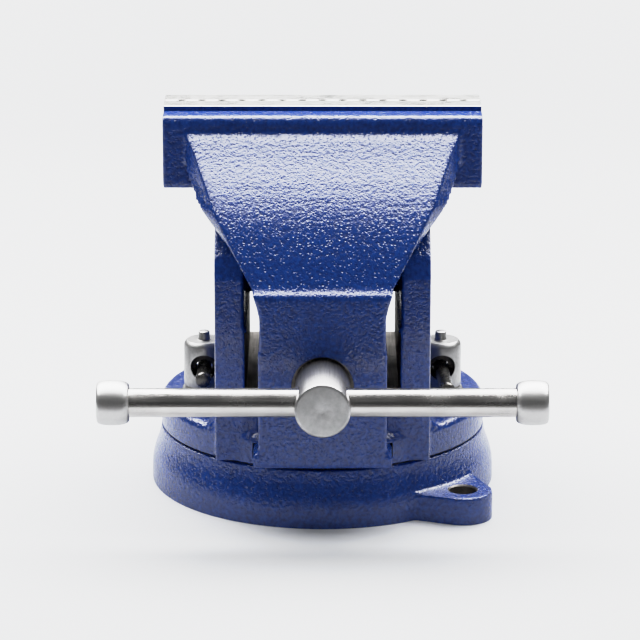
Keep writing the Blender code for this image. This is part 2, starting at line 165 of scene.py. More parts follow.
def turned(name, profile, place=(0, 0, 0), along=(0, 0, 1), steps=64, closed=True):
    """Spins a profile of (radius, height), in millimetres, all the way round an axis."""
    piece = draw_line(name, [(r, 0, h) for r, h in profile])
    if closed:
        close_line()
        bpy.ops.mesh.delete(type="ONLY_FACE")
    bpy.ops.mesh.select_all(action="SELECT")
    bpy.ops.mesh.spin(steps=steps, angle=math.tau, center=(0, 0, 0), axis=(0, 0, 1))
    bpy.ops.mesh.select_all(action="SELECT")
    bpy.ops.mesh.remove_doubles(threshold=0.000002)
    bpy.ops.mesh.normals_make_consistent(inside=False)
    bpy.ops.object.mode_set(mode="OBJECT")
    piece.matrix_world = (
        Matrix.Translation(Vector(place) * MM)
        @ Vector((0, 0, 1)).rotation_difference(Vector(along)).to_matrix().to_4x4()
    )
    return settle(piece)


def soften(piece, width=0.3, segments=2, angle=30):
    """Breaks the sharp edges, as a file or a lathe tool does."""
    apply_modifier(
        piece,
        "BEVEL",
        width=width * MM,
        segments=segments,
        limit_method="ANGLE",
        angle_limit=math.radians(angle),
        harden_normals=False,
    )


def round_edge(piece, wanted, width):
    """Rounds only the edges that a test on their two ends picks."""
    pick(piece)
    bpy.ops.object.mode_set(mode="EDIT")
    bpy.ops.mesh.select_mode(type="EDGE")
    bpy.ops.mesh.select_all(action="DESELECT")
    sheet = bmesh.from_edit_mesh(piece.data)
    for edge in sheet.edges:
        low, high = sorted((v.co for v in edge.verts), key=lambda co: co.z)
        if wanted(low, high):
            edge.select_set(True)
    bmesh.update_edit_mesh(piece.data)
    bpy.ops.mesh.bevel(offset=width * MM, segments=4, affect="EDGES")
    bpy.ops.mesh.select_mode(type="VERT")
    bpy.ops.object.mode_set(mode="OBJECT")


def shade(piece, angle=30):
    pick(piece)
    bpy.ops.object.shade_smooth_by_angle(angle=math.radians(angle))


def drop(*tools):
    for tool in tools:
        bpy.data.objects.remove(tool, do_unlink=True)


def gather(name, tools):
    """Several pieces as one mesh, still overlapping."""
    pick(*tools)
    bpy.ops.object.join()
    return name_piece(name)


def cast_in_sand(name, tools, grain=0.8, rounding=3):
    """Melts overlapping pieces into one casting with soft corners."""
    casting = gather(name, tools)
    voxel = grain * 1.0
    apply_modifier(casting, "REMESH", mode="VOXEL", voxel_size=voxel * MM, adaptivity=0.0)
    apply_modifier(casting, "SMOOTH", factor=0.5, iterations=rounding)
    return casting


def lighten(casting, most):
    """Thins the flat stretches of a casting's mesh to a number of triangles."""
    now = sum(len(p.vertices) - 2 for p in casting.data.polygons)
    if now > most:
        apply_modifier(casting, "DECIMATE", ratio=most / now, use_collapse_triangulate=True)


def cut(piece, tool):
    """Takes the tool's shape out of a piece, and then takes the tool away."""
    apply_modifier(piece, "BOOLEAN", operation="DIFFERENCE", solver="EXACT", object=tool)
    drop(tool)


def machine(casting, cutters, finish=1):
    """Cuts into a casting. The cut faces take the second finish unless told otherwise."""
    tool = gather(casting.name + "_cutter", cutters)
    tool.data.materials.clear()
    for slot in casting.data.materials:
        tool.data.materials.append(slot)
    for face in tool.data.polygons:
        face.material_index = finish
    cut(casting, tool)


def dress(piece, body, slot, nodes, *materials):
    piece.data.materials.clear()
    for material in materials:
        piece.data.materials.append(material)
    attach(piece, body)
    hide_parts(*nodes)


def dress_machined(piece, body, nodes):
    """For pieces that already carry their finishes."""
    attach(piece, body)
    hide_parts(*nodes)


# ---------------------------------------------------------------- shared surface effects


def new_group(name, inputs, outputs):
    group = bpy.data.node_groups.new(name, "ShaderNodeTree")
    for label, value in inputs:
        socket = group.interface.new_socket(label, in_out="INPUT", socket_type="NodeSocketFloat")
        socket.default_value = value
    for label, kind in outputs:
        group.interface.new_socket(label, in_out="OUTPUT", socket_type=kind)
    return group, group.nodes.new("NodeGroupInput"), group.nodes.new("NodeGroupOutput")


def node(tree, kind, **settings):
    made = tree.nodes.new(kind)
    for key, value in settings.items():
        setattr(made, key, value)
    return made


def math_node(tree, operation, first, second):
    made = node(tree, "ShaderNodeMath", operation=operation)
    for socket, value in zip(made.inputs, (first, second)):
        if isinstance(value, (int, float)):
            socket.default_value = value
        else:
            tree.links.new(value, socket)
    return made.outputs[0]


def build_hammered_group():
    """Smooth rolling lumps with small pits, as hammered enamel dries. Size is in pits per metre."""
    group, given, out = new_group(
        "hammered_lumps",
        (("Size", 800.0), ("Pits", 0.5), ("Fine", 0.35)),
        (("Height", "NodeSocketFloat"), ("Thin", "NodeSocketFloat")),
    )
    coords = node(group, "ShaderNodeTexCoord")
    warp = node(group, "ShaderNodeTexNoise")
    warp.inputs["Scale"].default_value = 300.0
    warp.inputs["Detail"].default_value = 1.0
    group.links.new(coords.outputs["Object"], warp.inputs["Vector"])
    shift = node(group, "ShaderNodeMix", data_type="VECTOR")
    shift.inputs["Factor"].default_value = 0.0009
    group.links.new(coords.outputs["Object"], shift.inputs["A"])
    group.links.new(warp.outputs["Color"], shift.inputs["B"])
    cells = node(group, "ShaderNodeTexVoronoi", feature="SMOOTH_F1")
    cells.inputs["Smoothness"].default_value = 0.5
    waves = node(group, "ShaderNodeTexNoise")
    waves.inputs["Detail"].default_value = 1.5
    waves.inputs["Roughness"].default_value = 0.45
    fine = node(group, "ShaderNodeTexNoise")
    fine.inputs["Detail"].default_value = 2.0
    for texture, share in ((cells, 1.0), (waves, 0.85), (fine, 2.4)):
        group.links.new(shift.outputs["Result"], texture.inputs["Vector"])
        scale = math_node(group, "MULTIPLY", given.outputs["Size"], share)
        group.links.new(scale, texture.inputs["Scale"])
    pit = node(group, "ShaderNodeMapRange", interpolation_type="SMOOTHSTEP")
    pit.inputs["From Min"].default_value = 0.05
    pit.inputs["From Max"].default_value = 0.42
    group.links.new(cells.outputs["Distance"], pit.inputs["Value"])
    pits = math_node(group, "MULTIPLY", pit.outputs["Result"], given.outputs["Pits"])
    grain = math_node(group, "MULTIPLY", fine.outputs["Fac"], given.outputs["Fine"])
    rolled = math_node(group, "ADD", pits, waves.outputs["Fac"])
    group.links.new(math_node(group, "ADD", rolled, grain), out.inputs["Height"])
    thin = node(group, "ShaderNodeMapRange")
    thin.inputs["From Min"].default_value = 0.25
    thin.inputs["From Max"].default_value = 0.75
    group.links.new(waves.outputs["Fac"], thin.inputs["Value"])
    group.links.new(thin.outputs["Result"], out.inputs["Thin"])
    return group


def build_edge_group():
    """A mask that is one along worn outer edges and in rubbed patches."""
    group, given, out = new_group(
        "rubbed_edges",
        (("Reach", 0.52), ("Spread", 0.06), ("Patch Size", 120.0)),
        (("Mask", "NodeSocketFloat"),),
    )
    shape = node(group, "ShaderNodeNewGeometry")
    coords = node(group, "ShaderNodeTexCoord")
    noise = node(group, "ShaderNodeTexNoise")
    noise.inputs["Detail"].default_value = 4.0
    group.links.new(coords.outputs["Object"], noise.inputs["Vector"])
    group.links.new(given.outputs["Patch Size"], noise.inputs["Scale"])
    wander = math_node(group, "MULTIPLY_ADD", noise.outputs["Fac"], 0.08)
    wander.node.inputs[2].default_value = -0.04
    edge = math_node(group, "ADD", shape.outputs["Pointiness"], wander)
    from_low = node(group, "ShaderNodeMapRange")
    group.links.new(edge, from_low.inputs["Value"])
    group.links.new(given.outputs["Reach"], from_low.inputs["From Min"])
    group.links.new(
        math_node(group, "ADD", given.outputs["Reach"], given.outputs["Spread"]),
        from_low.inputs["From Max"],
    )
    group.links.new(from_low.outputs["Result"], out.inputs["Mask"])
    return group


def build_streak_group():
    """Tool marks: noise stretched along one axis of the piece."""
    group, given, out = new_group(
        "tool_marks",
        (("Along X", 1.0), ("Along Y", 1.0), ("Along Z", 1.0), ("Size", 900.0)),
        (("Height", "NodeSocketFloat"), ("Tone", "NodeSocketFloat")),
    )
    coords = node(group, "ShaderNodeTexCoord")
    stretch = node(group, "ShaderNodeCombineXYZ")
    for axis in "XYZ":
        group.links.new(given.outputs["Along " + axis], stretch.inputs[axis])
    scaled = node(group, "ShaderNodeVectorMath", operation="MULTIPLY")
    group.links.new(coords.outputs["Object"], scaled.inputs[0])
    group.links.new(stretch.outputs["Vector"], scaled.inputs[1])
    lines = node(group, "ShaderNodeTexNoise")
    lines.inputs["Detail"].default_value = 5.0
    lines.inputs["Roughness"].default_value = 0.65
    group.links.new(scaled.outputs["Vector"], lines.inputs["Vector"])
    group.links.new(given.outputs["Size"], lines.inputs["Scale"])
    stains = node(group, "ShaderNodeTexNoise")
    stains.inputs["Scale"].default_value = 90.0
    stains.inputs["Detail"].default_value = 5.0
    group.links.new(coords.outputs["Object"], stains.inputs["Vector"])
    group.links.new(lines.outputs["Fac"], out.inputs["Height"])
    tone = math_node(group, "MULTIPLY", lines.outputs["Fac"], stains.outputs["Fac"])
    spread = node(group, "ShaderNodeMapRange")
    spread.inputs["From Min"].default_value = 0.12
    spread.inputs["From Max"].default_value = 0.42
    group.links.new(tone, spread.inputs["Value"])
    group.links.new(spread.outputs["Result"], out.inputs["Tone"])
    return group


HAMMERED = build_hammered_group()
RUBBED = build_edge_group()
TOOL_MARKS = build_streak_group()


def new_finish(name, roughness, metallic):
    material = bpy.data.materials.new(name)
    material.use_nodes = True
    shader = material.node_tree.nodes["Principled BSDF"]
    shader.inputs["Roughness"].default_value = roughness
    shader.inputs["Metallic"].default_value = metallic
    return material, material.node_tree, shader


def place_group(tree, group, **values):
    made = node(tree, "ShaderNodeGroup", node_tree=group)
    for label, value in values.items():
        made.inputs[label.replace("_", " ")].default_value = value
    return made


def blend_colours(tree, factor, first, second):
    mix = node(tree, "ShaderNodeMix", data_type="RGBA")
    for socket, value in ((mix.inputs["A"], first), (mix.inputs["B"], second)):
        if isinstance(value, tuple):
            socket.default_value = (*value, 1.0)
        else:
            tree.links.new(value, socket)
    tree.links.new(factor, mix.inputs["Factor"])
    return mix.outputs["Result"]


def stretch_value(tree, value, low, high):
    span = node(tree, "ShaderNodeMapRange")
    span.inputs["To Min"].default_value = low
    span.inputs["To Max"].default_value = high
    tree.links.new(value, span.inputs["Value"])
    return span.outputs["Result"]


def add_bump(tree, shader, height, distance):
    bump = node(tree, "ShaderNodeBump")
    bump.inputs["Distance"].default_value = distance
    bump.inputs["Strength"].default_value = 1.0
    tree.links.new(height, bump.inputs["Height"])
    tree.links.new(bump.outputs["Normal"], shader.inputs["Normal"])


def hammered_enamel():
    material, tree, shader = new_finish("hammered_blue_enamel", 0.3, 0.0)
    lumps = place_group(tree, HAMMERED, Size=820.0, Pits=0.45, Fine=0.25)
    colour = blend_colours(tree, lumps.outputs["Thin"], (0.0038, 0.0205, 0.125), (0.0095, 0.0490, 0.262))
    edges = place_group(tree, RUBBED, Reach=0.56, Spread=0.07, Patch_Size=160.0)
    worn = math_node(tree, "MULTIPLY", edges.outputs["Mask"], 0.12)
    tree.links.new(blend_colours(tree, worn, colour, (0.05, 0.07, 0.16)), shader.inputs["Base Color"])
    tree.links.new(stretch_value(tree, lumps.outputs["Thin"], 0.25, 0.15), shader.inputs["Roughness"])
    shader.inputs["Specular IOR Level"].default_value = 0.5
    add_bump(tree, shader, lumps.outputs["Height"], 0.00027)
    return material


def cut_iron(name, along, colour=(0.20, 0.185, 0.17), roughness=0.42):
    """Bare cast iron, with a cutter's marks if they are stretched along one direction."""
    material, tree, shader = new_finish(name, roughness, 0.85)
    marks = place_group(tree, TOOL_MARKS, Along_X=along[0], Along_Y=along[1], Along_Z=along[2], Size=1500.0)
    darker = tuple(c * 0.45 for c in colour)
    tree.links.new(
        blend_colours(tree, marks.outputs["Tone"], darker, colour), shader.inputs["Base Color"]
    )
    tree.links.new(
        stretch_value(tree, marks.outputs["Tone"], roughness + 0.18, roughness - 0.08),
        shader.inputs["Roughness"],
    )
    add_bump(tree, shader, marks.outputs["Height"], 0.00006)
    return material


def bright_steel(name, along, colour, roughness, depth=0.00003, size=900.0, dark=0.72):
    """Drawn, turned or ground steel, with its marks along one direction."""
    material, tree, shader = new_finish(name, roughness, 1.0)
    marks = place_group(tree, TOOL_MARKS, Along_X=along[0], Along_Y=along[1], Along_Z=along[2], Size=size)
    darker = tuple(c * dark for c in colour)
    tree.links.new(
        blend_colours(tree, marks.outputs["Tone"], darker, colour), shader.inputs["Base Color"]
    )
    tree.links.new(
        stretch_value(tree, marks.outputs["Tone"], roughness + 0.09, roughness - 0.04),
        shader.inputs["Roughness"],
    )
    add_bump(tree, shader, marks.outputs["Height"], depth)
    return material


ENAMEL = hammered_enamel()
CUT_IRON = cut_iron("milled_iron", (1.0, 0.04, 1.0))
ROUGH_IRON = cut_iron("plain_casting_iron", (1.0, 1.0, 1.0), (0.12, 0.11, 0.10), 0.6)
DRAWN_STEEL = bright_steel("drawn_bar_steel", (0.06, 1.0, 1.0), (0.62, 0.60, 0.58), 0.2)
TURNED_STEEL = bright_steel("turned_screw_steel", (1.0, 0.06, 1.0), (0.54, 0.53, 0.53), 0.32, dark=0.4)
SAWN_STEEL = bright_steel("faced_end_steel", (1.0, 1.0, 1.0), (0.56, 0.555, 0.55), 0.5, 0.00010, 420.0)
JAW_STEEL = bright_steel(
    "ground_jaw_steel", (0.08, 1.0, 1.0), (0.66, 0.65, 0.63), 0.26, size=2600.0, dark=0.85
)
KNOB_STEEL = bright_steel("satin_knob_steel", (1.0, 1.0, 1.0), (0.58, 0.57, 0.56), 0.34, dark=0.85)
ZINC = bright_steel("bright_zinc", (1.0, 1.0, 1.0), (0.37, 0.365, 0.36), 0.36, 0.00002)
OILED_STEEL = bright_steel("oiled_bar_steel", (1.0, 1.0, 0.2), (0.11, 0.105, 0.10), 0.24)
BLACK_OXIDE = bright_steel("black_oxide_screw", (1.0, 1.0, 1.0), (0.055, 0.055, 0.06), 0.4)


# ---------------------------------------------------------------- stage


def build_stage():
    deselect_everything()
    bpy.ops.mesh.primitive_plane_add(size=1, location=(0, 0, 0))
    floor = name_piece("floor")
    bpy.ops.object.mode_set(mode="EDIT")
    bpy.ops.mesh.select_all(action="SELECT")
    width, depth = 9.0, 7.0
    bpy.ops.transform.resize(value=(width, depth, 1.0))
    bpy.ops.transform.translate(value=(0, -1.0, 0))
    bpy.ops.mesh.select_all(action="DESELECT")
    sheet = bmesh.from_edit_mesh(floor.data)
    for edge in sheet.edges:
        edge.select = all(v.co.y > 0 for v in edge.verts)
    bmesh.update_edit_mesh(floor.data)
    for back, up in ((0.5, 0.1), (0.4, 0.3), (0.25, 0.6), (0.1, 4.0)):
        bpy.ops.mesh.extrude_region_move(TRANSFORM_OT_translate={"value": (0, back, up)})
    bpy.ops.object.mode_set(mode="OBJECT")
    shade(floor, 60)
    material = bpy.data.materials.new("pale_sweep")
    material.use_nodes = True
    tree = material.node_tree
    shader = tree.nodes["Principled BSDF"]
    shader.inputs["Base Color"].default_value = (0.66, 0.67, 0.69, 1.0)
    shader.inputs["Roughness"].default_value = 0.9
    shader.inputs["Emission Color"].default_value = (0.97, 0.985, 1.0, 1.0)
    shader.inputs["Emission Strength"].default_value = 0.05
    floor.data.materials.append(material)


def softbox(name, place, size, watts, tilt=0.0, gloss=False):
    """A rectangular light, facing down and tilted. It shows in gloss only, or it lights surfaces only."""
    light = bpy.data.lights.new(name, "AREA")
    light.shape = "RECTANGLE"
    light.size, light.size_y = size
    light.energy = watts
    light.color = (0.985, 0.992, 1.0)
    obj = bpy.data.objects.new(name, light)
    obj.location = place
    obj.rotation_euler = (math.radians(tilt), 0, 0)
    obj.visible_diffuse = not gloss
    obj.visible_glossy = gloss
    obj.visible_camera = False
    bpy.context.scene.collection.objects.link(obj)


def build_reflection_shade_card():
    """A nearly black card on the floor in front, seen only in reflections: painted shade, a dark reflection
    standing in for the shade in front of the vise.
    """
    deselect_everything()
    bpy.ops.mesh.primitive_plane_add(size=1, location=(0, -1.26, 0.002))
    card = name_piece("reflection_shade_card")
    card.scale = (1.6, 2.0, 1.0)
    settle(card)
    material = bpy.data.materials.new("reflection_shade_black")
    material.use_nodes = True
    shader = material.node_tree.nodes["Principled BSDF"]
    shader.inputs["Base Color"].default_value = (0.045, 0.042, 0.040, 1.0)
    shader.inputs["Roughness"].default_value = 1.0
    card.data.materials.append(material)
    card.visible_camera = card.visible_diffuse = card.visible_shadow = False
    card.visible_transmission = card.visible_volume_scatter = False


def build_lights():
    softbox("overhead_gloss", (0, 0.585, 1.12), (2.4, 1.47), 195.0, gloss=True)
    softbox("overhead", (0, 0.50, 1.12), (1.9, 1.2), 81.0)
    softbox("front_fill", (0, -1.5, 1.1), (1.6, 0.8), 4.0, tilt=55.0)
    world = bpy.data.worlds.new("studio")
    world.use_nodes = True
    sky = world.node_tree.nodes["Background"]
    sky.inputs["Color"].default_value = (0.93, 0.96, 1.0, 1.0)
    sky.inputs["Strength"].default_value = 0.06
    bpy.context.scene.world = world


def soften_highlights():
    """A film shoulder: true below half brightness, then rolling off slowly."""
    view = bpy.context.scene.view_settings
    view.view_transform = "Standard"
    view.use_curve_mapping = True
    film = view.curve_mapping
    film.white_level = (12.0, 12.0, 12.0)
    curve = film.curves[3]
    for x, y in ((0.02, 0.24), (0.0417, 0.5), (0.065, 0.68), (0.11, 0.81), (0.2, 0.87), (0.5, 0.92)):
        curve.points.new(x, y)
    curve.points[len(curve.points) - 1].location = (1.0, 0.96)
    for point in curve.points:
        point.handle_type = "AUTO_CLAMPED"
    film.update()


def build_camera():
    lens = bpy.data.cameras.new("camera")
    lens.lens = 196.9
    lens.sensor_width = 36.0
    lens.clip_end = 20.0
    camera = bpy.data.objects.new("camera", lens)
    camera.location = (-0.0010, -1.3602, 0.4678)
    camera.rotation_euler = (math.radians(73.5), 0, 0)
    bpy.context.scene.collection.objects.link(camera)
    bpy.context.scene.camera = camera


# ---------------------------------------------------------------- base and swivel


def lug_outline(angle):
    """A lug seen from above: a round end on a root that widens into the base."""
    end_radius, steps = 11.8, 16
    points = [(62.0, 20.6), (66.5, 17.4)]
    for i in range(steps + 1):
        turn = math.radians(70 - 140 * i / steps)
        points.append((LUG_OUT + end_radius * math.cos(turn), end_radius * math.sin(turn)))
    points += [(66.5, -17.4), (62.0, -20.6)]
    c, s = math.cos(math.radians(angle)), math.sin(math.radians(angle))
    return [(x * c - y * s, x * s + y * c) for x, y in points]


def build_base():
    profile = [
        (54.4, 24.2), (65.0, 24.2), (65.6, 22.4), (65.9, 20.0), (66.6, 17.0), (67.6, 14.2),
        (68.6, 11.4), (69.3, 8.2), (69.5, 5.0), (69.5, -1.5), (63.0, -1.5), (63.0, 10.4), (61.8, 11.5),
        (54.4, 11.5),
    ]  # fmt: skip
    rough = [turned("base_ring", profile, steps=120)]
    cutters = [
        block("top_cut", (-95, -95, 22.9), (95, 95, 32)),
        block("under_cut", (-95, -95, -9), (95, 95, 0)),
        rod("bore_cut", (0, 0, 5), (0, 0, 28), 55.2, 120),
    ]
    hole = [(0, -3), (5.45, -3), (5.45, 10.4), (6.2, 11.2), (6.2, 16), (0, 16)]
    for angle in LUG_ANGLES:
        rough.append(slab("lug", lug_outline(angle), -1.5, 11.0, "Z"))
        x, y = LUG_OUT * math.cos(math.radians(angle)), LUG_OUT * math.sin(math.radians(angle))
        cutters.append(turned("lug_drill", hole, (x, y, 0), steps=40, closed=False))
    base = cast_in_sand("base", rough, 0.9, 4)
    lighten(base, 150000)
    base.data.materials.append(ENAMEL)
    base.data.materials.append(CUT_IRON)
    machine(base, [merge_tools("drills", cutters)])
    rim = [(64.7, 24.0), (64.7, 22.9), (66.7, 21.7), (70.0, 21.7), (70.0, 24.0)]
    machine(base, [turned("rim_chamfer", rim, steps=120)], finish=0)
    shade(base, 40)
    dress_machined(base, "base", ["base_casting"])


# ---------------------------------------------------------------- body


def wall_outline():
    """Side view of a wall, as (y, z): upright low down, sloping back under the jaw."""
    return [
        (-57.0, 23.4), (-57.0, 98.0), (-54.0, 106.0), (-46.0, 114.0), (-30.0, 120.4), (-10.0, 124.8),
        (32.0, 125.9), (50.0, 112.0), (57.0, 98.0), (57.0, 23.4),
    ]  # fmt: skip


def lofted(name, loops):
    """A closed body through four-cornered sections, lowest first, each pulled from the one before."""
    piece = draw_line(name, loops[0])
    close_line()
    for here, there in zip(loops, loops[1:]):
        sheet = bmesh.from_edit_mesh(piece.data)
        height = here[0][2] * MM
        bpy.ops.mesh.select_all(action="DESELECT")
        for face in sheet.faces:
            if all(abs(v.co.z - height) < 1e-6 for v in face.verts):
                face.select_set(True)
        bmesh.update_edit_mesh(piece.data)
        lift = (there[0][2] - here[0][2]) * MM
        bpy.ops.mesh.extrude_region_move(TRANSFORM_OT_translate={"value": (0, 0, lift)})
        sheet = bmesh.from_edit_mesh(piece.data)
        for vertex in sheet.verts:
            if abs(vertex.co.z - height - lift) < 1e-6:
                spot = vertex.co / MM
                corner = min(range(4), key=lambda i: math.dist(spot[:2], here[i][:2]))
                vertex.co = Vector(there[corner]) * MM
        bmesh.update_edit_mesh(piece.data)
    bpy.ops.object.mode_set(mode="OBJECT")
    face_outwards(piece)
    return piece


def build_body():
    disc = [
        (0, 35.5), (62.8, 35.5), (64.5, 34.9), (65.5, 33.4), (65.5, 22.4), (55.2, 22.4),
        (55.2, 12.6), (0, 12.6),
    ]  # fmt: skip
    rough = [turned("disc", disc, steps=120, closed=False)]
    recess = [(35.0, 23.4), (35.0, 74.0), (31.0, 78.0), (-34.0, 78.0), (-38.0, 74.0), (-38.0, 23.4)]
    for _, sign in SIDES:
        low, high = sorted((sign * 30.5, sign * 35.0))
        rough.append(slab("wall", wall_outline(), low, high, "X"))
        low, high = sorted((sign * 34.0, sign * 42.1))
        rough.append(slab("posts", wall_outline() + recess, low, high, "X"))
        low, high = sorted((sign * 29.6, sign * 32.0))
        rough.append(block("wall_lining", (low, -56.6, 24.0), (high, 56.6, 77.4)))
        low, high = sorted((sign * 23.7, sign * 32.0))
        rough.append(block("keeper", (low, -56.8, 24.0), (high, 56.8, 43.8)))
        low, high = sorted((sign * 34.8, sign * 38.6))
        root = [(low, 35.0), (high, 35.0), (low if sign > 0 else high, 38.8)]
        rough.append(slab("root_fillet", root, -36.0, 33.0, "Y"))
        edge = sign * 42.0
        root = [(edge, 35.0), (edge + sign * 3.4, 35.0), (edge, 38.6)]
        rough.append(slab("post_fillet_rear", root, 36.0, 48.0, "Y"))
        rough.append(slab("post_fillet_front", root, -48.0, -39.0, "Y"))
    stations = (
        (97.0, 56.0, 42.2), (104.0, 55.2, 42.4), (112.0, 53.5, 43.5), (122.0, 48.5, 47.0),
        (132.0, 40.0, 51.5), (140.0, 31.5, 54.0), (147.2, 22.6, 55.0),
    )  # fmt: skip
    loops = [[(-w, 10.7, z), (w, 10.7, z), (w, back, z), (-w, back, z)] for z, back, w in stations]
    rough += [
        lofted("rear_flare", loops),
        block("bridge", (-31, 2.5, 75.6), (31, 53, 112.0)),
        block("bridge_top", (-31, 2.5, 110.0), (31, 44, 126.6)),
        block("jaw_block", (-63.0, 9.5, 125.4), (63.0, 21.8, 152.4)),
        slab("anvil_gusset", [(48, 80), (58, 80), (76, 101), (48, 101)], -15.0, 15.0, "X"),
        block("anvil", (-23.0, 50.0, 99.5), (23.0, 77.5, 114.2)),
    ]
    body = cast_in_sand("vise_body", rough, 0.95, 3)
    lighten(body, 185000)
    body.data.materials.append(ENAMEL)
    body.data.materials.append(CUT_IRON)
    slide = [
        (-27.5, 26.2), (27.5, 26.2), (27.5, 32.4), (24.55, 32.4), (24.55, 43.0), (30.5, 43.0), (30.5, 76.4),
        (-30.5, 76.4), (-30.5, 43.0), (-24.55, 43.0), (-24.55, 32.4), (-27.5, 32.4),
    ]  # fmt: skip
    cutters = [
        slab("slide_cut", slide, -80.0, 80.0, "Y"),
        block("seat_cut", (-70, -5, 127.2), (70, 10.3, 165)),
        block("anvil_cut", (-30, 56.0, 113), (30, 90, 120)),
        block("boss_cut", (-70, -70, 5), (70, 70, 13.6)),
        turned("disc_cut", [(54.4, 6), (80, 6), (80, 23.2), (54.4, 23.2)], steps=120),
        rod("nut_bolt_drill", (0, -NUT_BOLT_Y, 5), (0, -NUT_BOLT_Y, 35), 4.35, 32),
    ]
    for _, sign in SIDES:
        cutters.append(rod("bolt_drill", (sign * LOCK_X, 0, 5), (sign * LOCK_X, 0, 45), 5.35, 32))
        across = sign * PLATE_SCREW_X
        cutters.append(rod("screw_drill", (across, 6, PLATE_SCREW_Z), (across, 24, PLATE_SCREW_Z), 2.9, 24))
    machine(body, [merge_tools("drills", cutters)])
    spots = [rod("spot_face", (s * LOCK_X, 0, 35.35), (s * LOCK_X, 0, 41), 9.6, 48) for _, s in SIDES]
    machine(body, spots)
    rim = [(64.4, 22.6), (64.4, 23.2), (66.4, 24.4), (70.0, 24.4), (70.0, 22.6)]
    machine(body, [turned("rim_chamfer", rim, steps=120)], finish=0)
    shade(body, 40)
    dress_machined(body, "body", ["body_casting"])


def merge_tools(name, tools):
    """Unites cutters that cross each other."""
    first, *others = tools
    for tool in others:
        apply_modifier(first, "BOOLEAN", operation="UNION", solver="EXACT", object=tool)
    drop(*others)
    first.name = name
    return first


# ---------------------------------------------------------------- moving jaw


def build_moving_jaw():
    beam = [
        (-27.0, 26.5), (-27.0, 32.0), (-24.9, 32.0), (-24.9, 73.0), (-22.0, 75.8), (22.0, 75.8),
        (24.9, 73.0), (24.9, 32.0), (27.0, 32.0), (27.0, 26.5), (16.5, 26.5), (16.5, 70.8),
        (-16.5, 70.8), (-16.5, 26.5),
    ]  # fmt: skip
    stations = (
        (26.5, -74.0, 24.4, 24.4, 12.0), (87.0, -74.0, 24.4, 24.4, 12.0), (92.0, -74.0, 25.6, 25.6, 11.8),
        (95.7, -74.0, 26.8, 26.8, 11.5), (97.8, -70.8, 27.2, 27.2, 10.0), (102.5, -67.9, 30.1, 30.7, 10.0),
        (107.4, -64.9, 33.0, 34.3, 10.0), (111.5, -62.0, 35.2, 37.9, 10.0), (115.5, -59.0, 37.4, 41.5, 10.0),
        (119.5, -55.7, 39.6, 45.1, 10.0), (123.7, -51.7, 41.8, 48.9, 10.0), (128.0, -47.1, 43.8, 51.2, 13.0),
        (132.7, -41.5, 46.0, 53.7, 16.0), (136.2, -37.0, 47.7, 54.2, 14.0),
        (139.7, -32.5, 49.4, 54.6, 12.0), (145.9, -25.0, 52.8, 55.0, 6.0), (147.4, -22.6, 53.8, 55.2, 4.0),
    )  # fmt: skip
    loops = [
        [(-near, y, z), (near, y, z), (far, y + depth, z), (-far, y + depth, z)]
        for z, y, near, far, depth in stations
    ]
    jaw_block = block("jaw_block", (-63.0, -21.8, 125.4), (63.0, -9.5, 154.3))
    front, top = -21.7 * MM, 154.0 * MM
    round_edge(jaw_block, lambda low, high: max(low.y, high.y) < front and low.z > top, 3.0)
    web = [(-66, 73), (-12, 73), (-12, 130), (-30, 130), (-48, 122), (-64, 104)]
    rough = [
        slab("beam", beam, -73.8, 105.4, "Y"),
        lofted("jaw_front", loops),
        jaw_block,
        slab("web", web, -6.0, 6.0, "X"),
    ]
    jaw = cast_in_sand("moving_jaw", rough, 0.95, 3)
    lighten(jaw, 185000)
    jaw.data.materials.append(ENAMEL)
    jaw.data.materials.append(CUT_IRON)
    side_cut = [(24.2, 32.0), (34.0, 32.0), (34.0, 79.0), (24.2, 79.0)]
    cutters = [
        block("seat_cut", (-70, -10.3, 118), (70, 5, 165)),
        block("rear_cut", (-40, 104.5, 10), (40, 112, 90)),
        block("sole_cut", (-40, -90, 10), (40, 120, 26.5)),
        rod("thrust_face", (0, -62.0, SCREW_Z), (0, -48, SCREW_Z), 10.95, 64),
        turned("screw_bore", [(0, 50), (8.9, 50), (8.9, 70), (12.1, 70), (12.1, 80), (0, 80)],
               (0, 0, SCREW_Z), (0, -1, 0), 64, closed=False),
    ]  # fmt: skip
    for _, sign in SIDES:
        outline = [(sign * x, z) for x, z in side_cut]
        cutters.append(slab("side_cut", outline, -52.0, 110.0, "Y"))
        across = sign * PLATE_SCREW_X
        cutters.append(rod("screw_drill", (across, -24, PLATE_SCREW_Z), (across, -6, PLATE_SCREW_Z), 2.9, 24))
    machine(jaw, [merge_tools("drills", cutters)])
    shade(jaw, 40)
    dress_machined(jaw, "jaw", ["moving_jaw_casting"])


# ---------------------------------------------------------------- jaw plates and their screws


def groove_set(lean, face, sign):
    """Parallel V grooves across a plate's gripping face."""
    depth, half, pitch, reach = 1.1, 1.9, 8.0, 24.0
    lip = face - 0.4 * sign
    turn = Matrix.Rotation(math.radians(45 * lean), 4, "Y")
    tools = []
    for i in range(-11, 12):
        middle = (i + 0.5) * pitch
        outline = [(middle - half, lip), (middle + half, lip), (middle, face + depth * sign)]
        groove = slab("groove", outline, -reach, reach, "Z")
        pivot = Matrix.Translation((middle * MM, 0, PLATE_MIDDLE_Z * MM))
        groove.matrix_world = pivot @ turn @ Matrix.Translation((-middle * MM, 0, 0))
        settle(groove)
        face_outwards(groove)
        tools.append(groove)
    return gather("grooves", tools)


